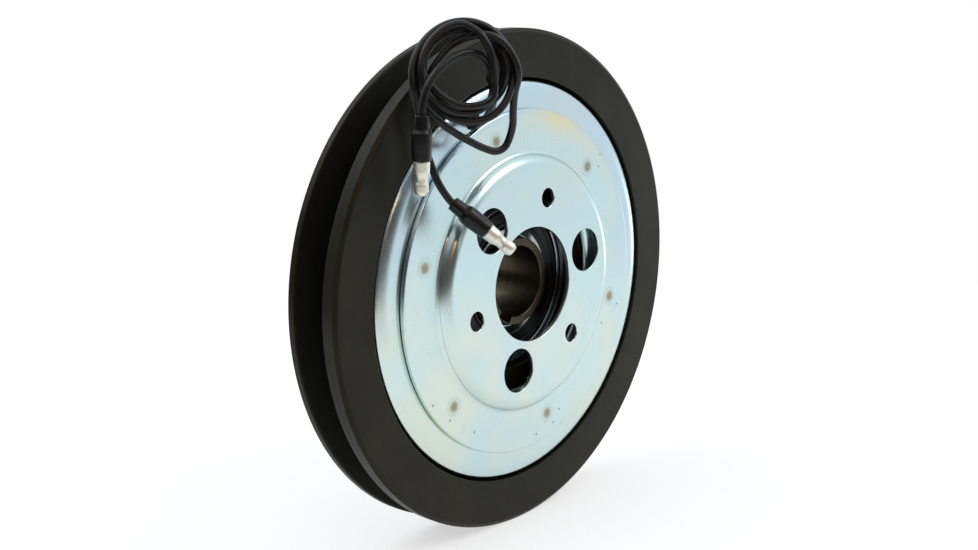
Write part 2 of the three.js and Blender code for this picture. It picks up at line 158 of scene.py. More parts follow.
class Finish:
    """A Principled material whose colour, roughness and relief come from object-space nodes.

    Each is kept in FINISHES under its name.
    """

    def __init__(self, name, **constants):
        self.material = FINISHES[name] = bpy.data.materials.new(name)
        self.material.use_nodes = True
        self.tree = self.material.node_tree
        self.shader = self.tree.nodes["Principled BSDF"]
        for socket, value in constants.items():
            self.shader.inputs[socket.replace("_", " ")].default_value = value
        self.place = self.tree.nodes.new("ShaderNodeTexCoord").outputs["Object"]
        axes = self.add("SeparateXYZ", {"Vector": self.place}).outputs
        self.x, self.y, self.z = axes[0], axes[1], axes[2]

    def add(self, kind, inputs, **settings):
        return add_node(self.tree, kind, inputs, **settings)

    def math(self, operation, first, second=0.0):
        return self.add("Math", {0: first, 1: second}, operation=operation).outputs[0]

    def plus(self, first, second):
        return self.math("ADD", first, second)

    def times(self, first, second):
        return self.math("MULTIPLY", first, second)

    def noise(self, size, detail=3.0, roughness=0.55):
        """Smooth noise from 0 to 1 whose features are about `size` millimetres across."""
        inputs = {"Vector": self.place, "Scale": 1 / (size * MM), "Detail": detail,
                  "Roughness": roughness}
        return self.add("TexNoise", inputs).outputs["Fac"]

    def mask(self, value, low, high):
        """0 below low, 1 above high, smooth between."""
        inputs = {"Value": value, "From Min": low, "From Max": high}
        return self.add("MapRange", inputs, interpolation_type="SMOOTHSTEP").outputs["Result"]

    def between(self, value, low, high):
        """A 0 to 1 value turned into one from low to high."""
        inputs = {"Value": value, "To Min": low, "To Max": high}
        return self.add("MapRange", inputs).outputs["Result"]

    def tint(self, base, patch, mask):
        """base where the mask is 0 and patch where it is 1: links, or display colours."""
        base, patch = (side if isinstance(side, bpy.types.NodeSocket) else srgb(*side)
                       for side in (base, patch))
        return self.add("Mix", {0: mask, 6: base, 7: patch}, data_type="RGBA").outputs[2]

    def radius(self):
        """Distance from the shaft axis, in metres."""
        squares = self.plus(self.times(self.x, self.x), self.times(self.z, self.z))
        return self.math("SQRT", squares)

    def turning(self, pitch, wander=0.5):
        """Fine concentric tool marks, `pitch` millimetres apart, that fade in and out."""
        radius = self.radius()
        along = self.math("DIVIDE", self.plus(radius, self.y), pitch * MM)
        around = self.add("CombineXYZ", {
            0: self.math("DIVIDE", self.x, radius), 2: self.math("DIVIDE", self.z, radius)})
        inputs = {"Vector": around.outputs[0], "W": along, "Scale": wander, "Detail": 2.0}
        return self.add("TexNoise", inputs, noise_dimensions="4D").outputs["Fac"]

    def specks(self, spacing, size):
        """1 inside small scattered dots, 0 elsewhere."""
        inputs = {"Vector": self.place, "Scale": 1 / (spacing * MM)}
        distance = self.add("TexVoronoi", inputs).outputs["Distance"]
        return self.mask(distance, size, size * 0.4)

    def done(self, colour, roughness, relief=None, depth=0.0):
        """Feeds the shader. `depth` is the relief's height in millimetres."""
        feed(self.tree, self.shader.inputs["Base Color"], colour)
        feed(self.tree, self.shader.inputs["Roughness"], roughness)
        if relief is not None:
            bump = self.add("Bump", {"Height": relief, "Distance": depth * MM, "Strength": 1.0})
            self.tree.links.new(bump.outputs["Normal"], self.shader.inputs["Normal"])
        return self.material


# Spot welds and pits on the plate as (radius, degrees), then a weld's spot and ring radius.
WELDS = ((52.0, 47), (53.7, 107), (53.0, 165.5), (53.0, 224), (52.6, 283.5), (52.0, 345))
PITS = ((56.4, 41.5), (60.0, 44), (57.6, 225.7), (59.2, 215), (58.0, 286), (55.0, 290.8),
        (58.1, 276), (55.9, 240), (51.0, 333), (57.8, 342.5))
WELD_SPOT = 2.5
WELD_RING = 3.2


def nearest(f, places):
    """Distance in metres across the shaft to the nearest of some places."""
    flat = f.add("CombineXYZ", {0: f.x, 2: f.z}).outputs[0]
    least = 1.0
    for radius, degrees in places:
        x, z = polar(radius * MM, degrees)
        gap = f.add("VectorMath", {0: flat, 1: (x, 0, z)}, operation="DISTANCE").outputs["Value"]
        least = f.math("MINIMUM", gap, least)
    return least


def zinc(name, spots):
    """Bright blue-white zinc plate with faint films; spots adds welds, pits and a straw stain."""
    f = Finish(name, Metallic=1.0)
    film = f.mask(f.noise(60, 2.0), 0.42, 0.66)
    colour = f.tint((199, 222, 222), (210, 221, 209), film)
    colour = f.tint(colour, (193, 218, 225), f.mask(f.noise(34, 2.0), 0.46, 0.80))
    colour = f.tint(colour, (196, 206, 204), f.mask(f.noise(8, 5.0, 0.7), 0.58, 0.82))
    outer = f.times(f.mask(f.radius(), 59 * MM, 61 * MM), f.mask(f.z, -20 * MM, 40 * MM))
    colour = f.tint(colour, (186, 203, 226), f.times(outer, 0.35))
    stain = f.times(f.specks(11, 0.03), f.mask(f.noise(30), 0.5, 0.6))
    colour = f.tint(colour, (110, 112, 104), stain)
    roughness = f.between(f.noise(9, 4.0, 0.6), 0.20, 0.32)
    relief = f.plus(f.times(f.noise(0.6, 2.0), 0.06), f.noise(22, 2.0))
    if spots:
        weld = nearest(f, WELDS)
        rim = f.mask(f.math("ABSOLUTE", f.math("SUBTRACT", weld, WELD_RING * MM)), 0.7 * MM, 0)
        colour = f.tint(colour, (176, 186, 178), f.times(rim, 0.35))
        colour = f.tint(colour, (150, 146, 122), f.mask(weld, (WELD_SPOT + 0.6) * MM, 0.7 * MM))
        pit = f.times(f.mask(nearest(f, PITS), 0.6 * MM, 0.2 * MM), 0.7)
        colour = f.tint(colour, (66, 70, 66), pit)
        stained = f.times(f.mask(f.radius(), 52 * MM, 59 * MM), f.mask(f.z, 26 * MM, 44 * MM))
        stained = f.times(stained, f.mask(f.x, -9 * MM, 6 * MM))
        stained = f.times(stained, f.mask(f.noise(24, 2.0), 0.30, 0.62))
        colour = f.tint(colour, (232, 216, 160), f.times(stained, 0.60))
    return f.done(colour, roughness, relief, 0.012)


def black_steel():
    """Satin black phosphate on turned steel: mottled, faint concentric marks, painted shade in the
    groove.
    """
    f = Finish("black_steel", Metallic=0.0, Specular_IOR_Level=0.20,
               Specular_Tint=(1.0, 0.98, 0.84, 1.0))
    colour = f.tint((15, 14, 8), (25, 24, 15), f.mask(f.noise(22, 4.0), 0.38, 0.66))
    colour = f.tint(colour, (36, 35, 28), f.mask(f.noise(1.6, 4.0, 0.7), 0.58, 0.80))
    marks = f.turning(0.5)
    roughness = f.between(f.times(marks, f.noise(9, 4.0)), 0.36, 0.66)
    # Painted shade: the belt's V groove is darkened to near black, standing in for the shadow deep
    # inside it.
    groove_end = GROOVE_START + GROOVE_WIDTH
    groove = f.times(f.mask(f.y, GROOVE_START * MM, (GROOVE_START + 0.4) * MM),
                     f.mask(f.y, groove_end * MM, (groove_end - 0.4) * MM))
    groove = f.times(groove, f.mask(f.radius(), 74 * MM, 75 * MM))
    groove = f.times(groove,
                     f.mask(f.radius(), (PULLEY_RADIUS - 0.3) * MM, (PULLEY_RADIUS - 0.8) * MM))
    colour = f.tint(colour, (5, 5, 5), groove)
    roughness = f.plus(roughness, f.times(groove, 0.3))
    relief = f.plus(f.times(marks, 0.5), f.noise(0.35, 2.0))
    return f.done(colour, roughness, relief, 0.012)


def steel(name, low, high, stain, rough, pitch, depth):
    """Bare machined steel with turned marks between two tones, and stains."""
    f = Finish(name, Metallic=1.0)
    marks = f.turning(pitch)
    colour = f.tint(low, high, f.mask(f.times(marks, f.noise(8, 4.0)), 0.12, 0.36))
    colour = f.tint(colour, stain, f.mask(f.noise(5, 5.0, 0.7), 0.62, 0.80))
    roughness = f.between(f.noise(3, 4.0), rough - 0.07, rough + 0.09)
    return f.done(colour, roughness, marks, depth)


def polished_steel():
    """Bright ground steel with very fine turned marks."""
    f = Finish("bearing_steel", Metallic=1.0)
    colour = f.tint((172, 174, 176), (146, 147, 148), f.mask(f.noise(6, 4.0), 0.4, 0.7))
    roughness = f.between(f.noise(1.5, 4.0), 0.10, 0.20)
    return f.done(colour, roughness, f.turning(0.3), 0.002)


def soft_black(name, tone, rough, grain, depth, specular=0.35):
    """Rubber or vinyl: a fine moulded grain, dull patches and a little surface gloss."""
    f = Finish(name, Metallic=0.0, Specular_IOR_Level=specular)
    dusty = f.mask(f.noise(3.5, 5.0, 0.7), 0.50, 0.80)
    colour = f.tint(tone, [value + 8 for value in tone], dusty)
    roughness = f.between(f.noise(2.2, 4.0), rough - 0.06, rough + 0.10)
    relief = f.plus(f.noise(grain, 3.0), f.times(f.noise(4.0), 2.0))
    return f.done(colour, roughness, relief, depth)


def two_tone(name, base, patch, spread, rough, grain, depth, **constants):
    """Patches of one tone over another.

    spread is the patches' (size, detail, low, high), and rough is (size, detail, least, most).
    """
    f = Finish(name, **constants)
    colour = f.tint(base, patch, f.mask(f.noise(*spread[:2]), *spread[2:]))
    return f.done(colour, f.between(f.noise(*rough[:2]), *rough[2:]), f.noise(grain), depth)


def nylon(name, tone):
    """Moulded nylon, slightly translucent."""
    return two_tone(name, tone, [value * 0.82 for value in tone], (6, 3.0, 0.4, 0.7),
                    (2, 3.0, 0.38, 0.54), 0.4, 0.01, Metallic=0.0, Subsurface_Weight=0.06,
                    Subsurface_Radius=(0.002, 0.001, 0.0006))


def copper_winding():
    """Enamelled copper wire seen as a wound pack."""
    f = Finish("winding_copper", Metallic=1.0, Coat_Weight=0.6, Coat_Roughness=0.12)
    colour = f.tint((168, 82, 42), (116, 50, 26), f.mask(f.turning(0.9), 0.42, 0.62))
    return f.done(colour, f.between(f.noise(2), 0.26, 0.40), f.turning(0.9), 0.05)


zinc("zinc_plate", spots=False)
black_steel()
steel("hub_steel", (64, 58, 46), (76, 69, 54), (52, 47, 38), 0.30, 0.8, 0.0006)
steel("armature_steel", (88, 87, 84), (122, 120, 114), (44, 38, 32), 0.38, 0.6, 0.006)
polished_steel()
soft_black("seal_rubber", (7, 7, 8), 0.34, 0.6, 0.006, 0.25)
soft_black("grommet_rubber", (20, 19, 18), 0.55, 0.5, 0.03)
nylon("cage_nylon", (150, 140, 114))
nylon("bobbin_nylon", (206, 198, 174))
copper_winding()
# Dark cast resin with a glossy skin.
two_tone("potting_resin", (44, 38, 32), (62, 52, 42), (5, 4.0, 0.42, 0.68),
         (3, 3.0, 0.30, 0.48), 6, 0.12, Metallic=0.0, Coat_Weight=0.3, Coat_Roughness=0.2)
# Tempered strip: blue-grey, with straw-coloured patches.
two_tone("spring_steel", (112, 118, 126), (136, 130, 116),
         (11, 3.0, 0.48, 0.72), (1.6, 4.0, 0.24, 0.38), 0.4, 0.008, Metallic=1.0)
two_tone("rivet_steel", (170, 170, 166), (128, 122, 110),
         (1.6, 4.0, 0.44, 0.68), (0.8, 4.0, 0.28, 0.46), 0.7, 0.03, Metallic=1.0)
soft_black("wire_pvc", (12, 12, 13), 0.36, 0.6, 0.006)
soft_black("sleeve_vinyl", (7, 7, 7), 0.34, 1.2, 0.01, 0.32)
# Bright tin plate on brass, warm where it is thin.
two_tone("bullet_tin", (226, 226, 214), (206, 203, 184),
         (2.4, 4.0, 0.52, 0.80), (0.9, 4.0, 0.40, 0.54), 0.9, 0.015, Metallic=1.0)
zinc("zinc_plate_welded", spots=True)


# ---- outlines
def rounded(corners, closed=True, step=14.0):
    """Points through corners given as (a, b, round), each turned on an arc of that radius.

    A close point either side of each arc keeps the flats beside it evenly shaded.
    """
    points = []
    for i, (a, b, *rest) in enumerate(corners):
        here = Vector((a, b))
        size = rest[0] if rest else 0.0
        if not size or not closed and i in (0, len(corners) - 1):
            points.append(here)
            continue
        before = (Vector(corners[i - 1][:2]) - here).normalized()
        after = (Vector(corners[(i + 1) % len(corners)][:2]) - here).normalized()
        half = before.angle(after) / 2
        reach = size / math.tan(half)
        centre = here + (before + after).normalized() * (size / math.sin(half))
        first = here + before * reach - centre
        last = here + after * reach - centre
        sweep = math.atan2(first.cross(last), first.dot(last))
        start = math.atan2(first.y, first.x)
        steps = max(2, math.ceil(abs(math.degrees(sweep)) / step))
        guard = min(0.2, size * 0.3)
        points.append(centre + first + before * guard)
        for k in range(steps + 1):
            angle = start + sweep * k / steps
            points.append(centre + size * Vector((math.cos(angle), math.sin(angle))))
        points.append(centre + last + after * guard)
    return points


def circle(radius, facets, centre=(0, 0)):
    return [Vector(polar(radius, 360 * k / facets)) + Vector(centre) for k in range(facets)]


def arc_points(radius, start, end, steps, centre=(0, 0)):
    """Points of an arc in the plane across the shaft, both ends included."""
    return [Vector(polar(radius, start + (end - start) * k / steps)) + Vector(centre)
            for k in range(steps + 1)]


def arc_slot(radius, width, middle, sweep):
    """A slot along a circle, with round ends."""
    start, end = middle - sweep / 2, middle + sweep / 2
    half = width / 2
    steps = math.ceil(sweep / 2)
    return [
        *arc_points(radius + half, start, end, steps),
        *arc_points(half, end, end + 180, 12, polar(radius, end))[1:-1],
        *arc_points(radius - half, end, start, steps),
        *arc_points(half, start + 180, start + 360, 12, polar(radius, start))[1:-1],
    ]


def grown(points, distance):
    """A closed counter-clockwise outline moved outward by a distance, along its normals."""
    result = []
    count = len(points)
    for i, here in enumerate(points):
        before = (here - points[i - 1]).normalized()
        after = (points[(i + 1) % count] - here).normalized()
        normal = Vector((before.y + after.y, -before.x - after.x)).normalized()
        lean = max(0.5, normal.dot(Vector((before.y, -before.x))))
        result.append(here + normal * (distance / lean))
    return result


def edge_rows(front, rear, soft):
    """(inset, y) rows over a plate's edge, from its front face to its rear face."""
    corners = [(2 * soft + 0.3, front), (0, front, soft), (0, rear, soft), (2 * soft + 0.3, rear)]
    return [(p.x, p.y) for p in rounded(corners, closed=False, step=30)]


# ---- solids
def skin(shape, rows):
    """Faces between neighbouring closed loops of vertices."""
    for near, far in zip(rows, rows[1:]):
        for i in range(len(near)):
            shape.faces.new((near[i - 1], near[i], far[i], far[i - 1]))


def fill(shape, loops):
    """A flat face bounded by the first loop and pierced by the others."""
    edges = []
    for loop in loops:
        for i in range(len(loop)):
            edges.append(shape.edges.get((loop[i - 1], loop[i])))
    bmesh.ops.triangle_fill(shape, edges=edges, use_beauty=True)


def loops_of(shape, rings):
    """Vertex loops from ([(x, z), ...], y) rings."""
    return [[shape.verts.new((p[0], y, p[1])) for p in points] for points, y in rings]


def plate(front, rear, outer, inner=None, holes=(), soft=0.25):
    """A plate across the shaft.

    outer and inner are outlines, or lists of (radius, y) points turned about the shaft that
    start on one face of the plate and end on the other. holes are outlines.
    """
    shape = bmesh.new()
    fronts, rears = [], []

    def border(path, grow):
        if isinstance(path[0], tuple):
            rings = [(circle(radius, FINE), y) for radius, y in path]
        else:
            rings = [(grown(path, grow * inset), y) for inset, y in edge_rows(front, rear, soft)]
        rows = loops_of(shape, rings)
        skin(shape, rows)
        fronts.append(rows[0])
        rears.append(rows[-1])

    border(outer, -1)
    if inner:
        border(inner, 1)
    for hole in holes:
        border(hole, 1)
    fill(shape, fronts)
    fill(shape, rears)
    bmesh.ops.recalc_face_normals(shape, faces=shape.faces)
    return shape


def as_path(corners):
    """(radius, y) tuples along an open turned path with rounded corners."""
    return [(p.x, p.y) for p in rounded(corners, closed=False)]


def lathe(outline, facets=FINE, radius_at=None):
    """A solid turned about Y from (radius, y) points, closed on itself or on the axis.

    radius_at(angle, radius, y) may change the radius, for seams and dents.
    """
    shape = bmesh.new()
    poles = {}
    columns = []
    for k in range(facets):
        angle = TURN * k / facets
        column = []
        for i, (radius, y) in enumerate(outline):
            if radius < 1e-6:
                if i not in poles:
                    poles[i] = shape.verts.new((0, y, 0))
                column.append(poles[i])
                continue
            if radius_at:
                radius = radius_at(angle, radius, y)
            column.append(shape.verts.new((radius * math.cos(angle), y, radius * math.sin(angle))))
        columns.append(column)
    count = len(outline)
    on_axis = 0 in poles
    for k in range(facets):
        here, there = columns[k - 1], columns[k]
        for i in range(count - on_axis):
            j = (i + 1) % count
            corners = list(dict.fromkeys((here[i], here[j], there[j], there[i])))
            shape.faces.new(corners)
    bmesh.ops.recalc_face_normals(shape, faces=shape.faces)
    return shape


def turned(corners, facets=FINE, radius_at=None, step=14.0):
    """A solid turned about Y from (radius, y, round) corners."""
    outline = [(max(p.x, 0.0), p.y) for p in rounded(corners, step=step)]
    return lathe(outline, facets, radius_at)


def turned_ring(inner, outer, front, rear, soft, facets=FINE):
    """A plain ring with four softened edges."""
    return turned([(inner, front, soft), (outer, front, soft), (outer, rear, soft),
                   (inner, rear, soft)], facets)


def as_object(name, shape):
    """An object in the scene with the shape's mesh."""
    mesh = bpy.data.meshes.new(name)
    shape.to_mesh(mesh)
    shape.free()
    made = bpy.data.objects.new(name, mesh)
    scene.collection.objects.link(made)
    return made


# Anything narrower than this after a boolean is a leftover sliver.
LEAST_EDGE = 0.003


def combined(shape, tool, operation="DIFFERENCE"):
    """The result of one exact boolean between two solids."""
    body, other = as_object("tool", shape), as_object("tool", tool)
    modifier = body.modifiers.new("boolean", "BOOLEAN")
    modifier.operation = operation
    modifier.solver = "EXACT"
    modifier.object = other
    result = bmesh.new()
    result.from_object(body, bpy.context.evaluated_depsgraph_get())
    for used in (body, other):
        mesh = used.data
        bpy.data.objects.remove(used)
        bpy.data.meshes.remove(mesh)
    bmesh.ops.dissolve_degenerate(result, edges=result.edges, dist=LEAST_EDGE)
    return result


def piece(name, shape, body, slot, *nodes, finish=None, sharp=38):
    """Makes a shown object with the finish named by slot or finish, on its body, hiding its CAD nodes.
    """
    made = as_object(name, shape)
    made.data.transform(Matrix.Scale(MM, 4))
    made.data.shade_smooth()
    made.data.set_sharp_from_angle(angle=math.radians(sharp))
    made.data.materials.append(FINISHES[finish or slot])
    if body:
        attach(made, body)
    if nodes:
        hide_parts(*nodes)
    return made


def detail(node, shape, body, slot, **options):
    """A piece that stands for the CAD node it is named after."""
    return piece(node + ".detail", shape, body, slot, node, **options)


# ---- camera, floor and light
def make_camera():
    """The view of the machine's side, from the left and a little above."""
    target, distance = Vector((0, 0.0054, 0)), 0.4842
    azimuth, elevation = math.radians(-50.13), math.radians(12.16)
    data = bpy.data.cameras.new("camera")
    data.lens = 50.1
    data.sensor_width = 36
    data.shift_x = -0.0337
    data.shift_y = 0.0073
    back = Vector((math.sin(azimuth) * math.cos(elevation),
                   -math.cos(azimuth) * math.cos(elevation), math.sin(elevation)))
    camera = bpy.data.objects.new("camera", data)
    scene.collection.objects.link(camera)
    camera.location = target + back * distance
    camera.rotation_mode = "QUATERNION"
    camera.rotation_quaternion = (-back).to_track_quat("-Z", "Y")
    scene.camera = camera


def make_floor():
    """A round pale board under the pulley, lit until it is white."""
    shape = bmesh.new()
    bmesh.ops.create_circle(shape, cap_ends=True, segments=96, radius=0.5)
    floor = as_object("floor", shape)
    floor.location.z = cad_bounds[0].z
    f = Finish("floor_board", Metallic=0.0, Specular_IOR_Level=0.0,
               Emission_Color=(1, 1, 1, 1), Emission_Strength=0.6)
    tone = f.tint((172, 172, 172), (166, 166, 166), f.noise(60))
    floor.data.materials.append(f.done(tone, f.between(f.noise(4), 0.9, 1.0)))


def add_light(name, place, size, power, colour):
    """A soft rectangular light that faces the middle of the pulley."""
    data = bpy.data.lights.new(name, "AREA")
    data.shape = "RECTANGLE"
    data.size, data.size_y = size
    data.energy = power
    data.color = colour
    light = bpy.data.objects.new(name, data)
    light.location = place
    light.rotation_mode = "QUATERNION"
    light.rotation_quaternion = (-Vector(place)).to_track_quat("-Z", "Y")
    scene.collection.objects.link(light)


# Unlit parts of the room: degrees right of the front, degrees up, and how many degrees from
# there the full dark and its soft edge reach.
DARK_SIDE = (
    (-3, -4, 22, 39), (-34, -4, 30, 44), (-68, -4, 28, 42), (-100, -6, 25, 40), (-132, -8, 20, 36),
)


def make_world():
    """A pale room that is dark and warm low down in front and on the left."""
    world = bpy.data.worlds.new("room")
    world.use_nodes = True
    scene.world = world
    tree = world.node_tree
    shade = tree.nodes["Background"]

    direction = add_node(tree, "TexCoord", {}).outputs["Generated"]
    dark = 0.0
    for heading, height, inside, outside in DARK_SIDE:
        turn, rise = math.radians(heading), math.radians(height)
        middle = (math.sin(turn) * math.cos(rise), -math.cos(turn) * math.cos(rise), math.sin(rise))
        facing = add_node(tree, "VectorMath", {0: direction, 1: middle}, operation="DOT_PRODUCT")
        limits = {"Value": facing.outputs["Value"], "From Min": math.cos(math.radians(outside)),
                  "From Max": math.cos(math.radians(inside))}
        amount = add_node(tree, "MapRange", limits, interpolation_type="SMOOTHSTEP").outputs["Result"]
        dark = add_node(tree, "Math", {0: amount, 1: dark}, operation="MAXIMUM").outputs[0]
    tones = {0: dark, 6: (0.90, 0.94, 1.0, 1), 7: (0.062, 0.047, 0.036, 1)}
    room = add_node(tree, "Mix", tones, data_type="RGBA").outputs[2]
    seen = add_node(tree, "LightPath", {}).outputs["Is Camera Ray"]
    shown = add_node(tree, "Mix", {0: seen, 6: room, 7: (1, 1, 1, 1)}, data_type="RGBA")
    tree.links.new(shown.outputs[2], shade.inputs["Color"])
    shade.inputs["Strength"].default_value = 1.0


make_camera()
make_floor()
make_world()
add_light("key", (0.5, -0.78, 0.88), (0.5, 0.5), 4.0, (1.0, 0.985, 0.96))
add_light("side", (1.05, -0.17, -0.25), (0.4, 0.4), 0.9, (1.0, 0.985, 0.95))
add_light("fill", (-0.5, 0.35, 0.9), (0.8, 0.5), 4.0, (0.95, 0.98, 1.0))
add_light("lamp", (-0.32, -0.85, 0.45), (0.07, 0.07), 0.6, (1.0, 0.5, 0.2))
scene.view_settings.view_transform = "Standard"


# ---- leads
# Each lead is a line of points, with its turns round the hand-wound coil given by winding().
COIL_CENTRE = Vector((-44, -8.5, 77))
COIL_AZIMUTH, COIL_ELEVATION = math.radians(35), math.radians(12)
COIL_NORMAL = Vector((-math.sin(COIL_AZIMUTH) * math.cos(COIL_ELEVATION),
                      -math.cos(COIL_AZIMUTH) * math.cos(COIL_ELEVATION), math.sin(COIL_ELEVATION)))
COIL_RIGHT = Vector((math.cos(COIL_AZIMUTH), -math.sin(COIL_AZIMUTH), 0))
COIL_UP = COIL_NORMAL.cross(COIL_RIGHT)


def on_coil(degrees, radius, height):
    """A point of the hand-wound coil: its angle, radius and height over the coil's middle plane."""
    angle = math.radians(degrees)
    return (COIL_CENTRE + radius * (math.cos(angle) * COIL_RIGHT + math.sin(angle) * COIL_UP)
            + height * COIL_NORMAL)


def winding(stations, step=14.0):
    """Points round the coil through (angle, radius, height) stations, a few degrees apart."""
    points = []
    for i in range(len(stations) - 1):
        start, end = stations[i], stations[i + 1]
        before = stations[max(0, i - 1)]
        after = stations[min(len(stations) - 1, i + 2)]
        width = end[0] - start[0]
        steps = max(1, round(width / step))
        for k in range(steps):
            t = k / steps
            values = []
            for axis in (1, 2):
                rise_in = (end[axis] - before[axis]) / (end[0] - before[0]) * width
                rise_out = (after[axis] - start[axis]) / (after[0] - start[0]) * width
                values.append(
                    (2 * t**3 - 3 * t**2 + 1) * start[axis] + (t**3 - 2 * t**2 + t) * rise_in
                    + (3 * t**2 - 2 * t**3) * end[axis] + (t**3 - t**2) * rise_out)
            points.append(on_coil(start[0] + width * t, *values))
    points.append(on_coil(*stations[-1]))
    return points


def smooth(points, step=0.9):
    """A centripetal spline through the points, cut into short straight steps."""
    points = [Vector(point) for point in points]
    ends = [points[0] * 2 - points[1], *points, points[-1] * 2 - points[-2]]
    line = []
    for a, b, c, d in zip(ends, ends[1:], ends[2:], ends[3:]):
        ta = 0.0
        tb = ta + math.sqrt((b - a).length)
        tc = tb + math.sqrt((c - b).length)
        td = tc + math.sqrt((d - c).length)
        steps = max(1, round((c - b).length / step))
        for k in range(steps):
            t = tb + (tc - tb) * k / steps
            ab = a.lerp(b, (t - ta) / (tb - ta))
            bc = b.lerp(c, (t - tb) / (tc - tb))
            cd = c.lerp(d, (t - tc) / (td - tc))
            line.append(ab.lerp(bc, (t - ta) / (tc - ta)).lerp(bc.lerp(cd, (t - tb) / (td - tb)),
                                                              (t - tb) / (tc - tb)))
    line.append(points[-1])
    return line


LEAD_A = [
    (-26.7, 5.8, 58.1), (-26.7, 4.3, 58.1), (-26.9, 1.6, 58.5), (-28.3, -2.4, 60.2),
    (-31, -6.8, 63.2),
    *winding([
        (-45, 13.2, -5.6), (-15, 13.4, -2.2), (0, 13.4, -0.9), (45, 13.3, -1.2), (90, 13.1, -1.8),
        (135, 13.3, -1.6), (180, 13.5, -0.6), (197, 12.6, 0.5), (225, 11.6, 1.6), (270, 11.5, 1.9),
        (309, 11.7, 3.0), (331, 9.3, 3.5), (374, 8.2, 3.5), (410, 9.7, 4.3), (428, 11.4, 4.2),
        (436, 12.3, 3.5), (457, 14.3, 2.0), (490, 14.3, 1.6), (540, 14.6, 1.9), (562, 14.9, 1.2),
        (585, 14.0, 0.5), (630, 13.4, -0.2), (667, 12.0, 0.0), (691, 9.3, 0.6),
    ]),
    (-38.6, -13.7, 74.6), (-37.9, -13.4, 78), (-39.6, -11.9, 81.3), (-44.6, -9.7, 82.6),
    (-50, -8.4, 81.1), (-55.5, -7.5, 77.7), (-59.1, -6.7, 73.4), (-60.7, -6.1, 68.6),
    (-61, -5.6, 64.6), (-60.9, -5.4, 62.4),
]
LEAD_B = [
    (-24.1, 5.8, 59.3), (-24.1, 4.3, 59.3), (-24.2, 1.6, 59.8), (-25.6, -2.2, 62.2),
    (-28.6, -6.3, 65.9),
    *winding([
        (-30, 12.2, -6.2), (0, 13.0, -3.6), (45, 13.4, -4.0), (90, 13.4, -4.4), (135, 15.1, -3.5),
        (180, 16.0, -2.3), (200, 16.3, -3.6),
    ]),
    (-52.6, 1.4, 65.5), (-48.2, -0.8, 60.9), (-42.7, -2.3, 57), (-36.9, -3.9, 53.7),
    (-31.8, -5.6, 51.2), (-28, -7.1, 50.1), (-25.2, -8.3, 51.3), (-24, -9.5, 54.7),
    (-24.3, -11, 58.8), (-26.2, -12.8, 63.4),
    *winding([
        (338, 17.8, -4.1), (352, 17.2, -0.9), (365, 16.4, 0.5), (385, 15.2, 1.2), (405, 13.9, 1.9),
        (420, 12.5, 1.6), (437, 10.9, 0.4), (458, 9.5, -0.4), (497, 8.7, -0.8), (525, 9.6, -0.9),
        (540, 10.9, -1.3), (557, 12.3, -2.0), (585, 14.2, -2.4), (610, 15.3, -1.8),
        (635, 15.9, -1.2), (660, 16.3, -1.4), (690, 16.0, -2.2), (720, 15.8, -2.4),
        (765, 15.9, -1.4), (810, 15.5, -0.6), (855, 15.6, -0.3), (900, 17.1, 0.4),
        (917, 17.9, 0.2),
    ]),
    (-57.3, 0.9, 66.4), (-55.3, 1.4, 60), (-53.3, 1.4, 54.6), (-51.5, 0.5, 48.3),
    (-49.4, -1.4, 41), (-46.5, -3.95, 35.25), (-45.3, -5.05, 33.9),
]


def make_lead(name, points, *nodes):
    """A round wire along a smooth line, tied to the field."""
    data = bpy.data.curves.new(name, "CURVE")
    data.dimensions = "3D"
    data.bevel_depth = WIRE / 2 * MM
    data.bevel_resolution = 5
    data.use_fill_caps = True
    line = smooth(points)
    spline = data.splines.new("POLY")
    spline.points.add(len(line) - 1)
    for point, place in zip(spline.points, line):
        point.co = (*(place * MM), 1)
    spline.use_smooth = True
    data.materials.append(FINISHES["wire_pvc"])
    made = bpy.data.objects.new(name, data)
    scene.collection.objects.link(made)
    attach(made, "field")
    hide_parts(*nodes)
    return made


lead_a = make_lead("lead_a", LEAD_A, "lead_a_root", "lead_a_tail", "lead_coil")
lead_b = make_lead("lead_b", LEAD_B, "lead_b_root", "lead_b_slack", "lead_b_tail")


def sleeve_shape():
    """A soft vinyl sleeve: a narrow collar on the wire, a fuller body, a rim at the mouth."""
    return turned([
        (0, 1.2), (1.4, 1.2, 0.1), (1.5, 0, 0.12), (2.3, 0, 0.35), (2.5, 3.2, 1.5), (2.55, 4.4, 1.0),
        (3.25, 5.7, 1.0), (3.3, 8.6, 4), (3.15, 11.8, 4), (3.1, 13.8, 0.5),
        (2.95, 14.3, 0.2), (2.6, 14.3, 0.15), (2.5, 12.6, 0.2), (0, 12.6),
    ], SMALL)


def bullet_shape():
    """A bullet terminal rolled from sheet: a fine seam at the back and an open, rounded tip."""
    seam_depth, seam_half_angle, seam_inside = 0.25, 0.16, 1.5

    def seam(angle, radius, y):
        offset = abs((angle - TURN / 4 + math.pi) % TURN - math.pi)
        return radius - seam_depth * max(0.0, 1 - offset / seam_half_angle) * (radius > seam_inside)

    return turned([
        (0, 12.9), (2.2, 12.9, 0.2), (2.4, 14.2, 0.3), (2.68, 14.7, 0.3), (2.55, 18.0, 2.0),
        (2.0, 19.7, 1.0), (1.98, 20.8, 0.6), (2.38, 21.9, 1.0), (2.32, 24.1, 1.0), (1.75, 25.3, 0.45),
        (1.2, 25.3, 0.2), (1.05, 22.8, 0.2), (0, 22.8),
    ], SMALL, seam)


def along_lead(shape, start, to, seam_towards):
    """Turns a piece made along +Y from the origin into its place on a lead's end."""
    axis = (Vector(to) - Vector(start)).normalized()
    side = Vector(seam_towards)
    side = (side - axis * side.dot(axis)).normalized()
    turn = Matrix((side.cross(axis) * -1, axis, side)).transposed()
    bmesh.ops.transform(shape, matrix=Matrix.Translation(start) @ turn.to_4x4(), verts=shape.verts)
    return shape


